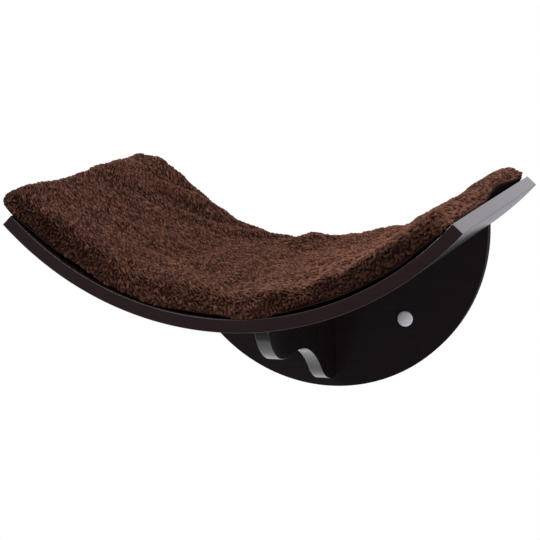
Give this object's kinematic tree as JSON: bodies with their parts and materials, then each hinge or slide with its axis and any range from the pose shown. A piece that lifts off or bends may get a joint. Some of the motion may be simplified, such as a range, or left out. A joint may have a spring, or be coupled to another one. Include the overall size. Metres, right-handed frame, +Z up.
{
  "type": "cat wall shelf",
  "caption": "Curved cradle shelf for a cat: a bent seat board on a half-moon wall board and a lobed centre bracket, with a lift-off plush cushion.",
  "frame": {"origin": "midpoint of the two wall-screw holes, on the wall plane", "axes": "+X along the shelf's length to the right as seen from the room, +Y into the wall, +Z up"},
  "size_m": [0.4107, 0.28, 0.2385],
  "materials": {
    "lacquered_wood": "dark espresso brown lacquer, semi-gloss",
    "screw_steel": "zinc-plated",
    "cap_plastic": "satin light grey",
    "hook_tape": "black nylon hook tape",
    "loop_tape": "black nylon loop tape",
    "base_cloth": "smooth dark brown woven cloth",
    "fibre_fill": "loose white polyester fibre",
    "plush": "curly brown sherpa plush"
  },
  "bodies": {
    "shelf": {"seat_board": "lacquered_wood", "back_board": "lacquered_wood", "support_bracket": "lacquered_wood", "bracket_rear_screws": "screw_steel", "bracket_top_screws": "screw_steel", "seat_rear_screws": "screw_steel", "hook_strips": "hook_tape"},
    "cushion": {"cushion_top_cover": "plush", "cushion_base_panel": "base_cloth", "cushion_filling": "fibre_fill", "loop_strips": "loop_tape"},
    "left_cap": {"wall_screw_cap_left": "cap_plastic"},
    "right_cap": {"wall_screw_cap_right": "cap_plastic"}
  },
  "joints": [
    {"name": "cushion_lift", "type": "slide", "parent": "shelf", "child": "cushion", "axis": [0, 0, 1], "range_m": [0, 0.15]},
    {"name": "left_cap_pull", "type": "slide", "parent": "shelf", "child": "left_cap", "axis": [0, -1, 0], "range_m": [0, 0.03]},
    {"name": "right_cap_pull", "type": "slide", "parent": "shelf", "child": "right_cap", "axis": [0, -1, 0], "range_m": [0, 0.03]}
  ]
}
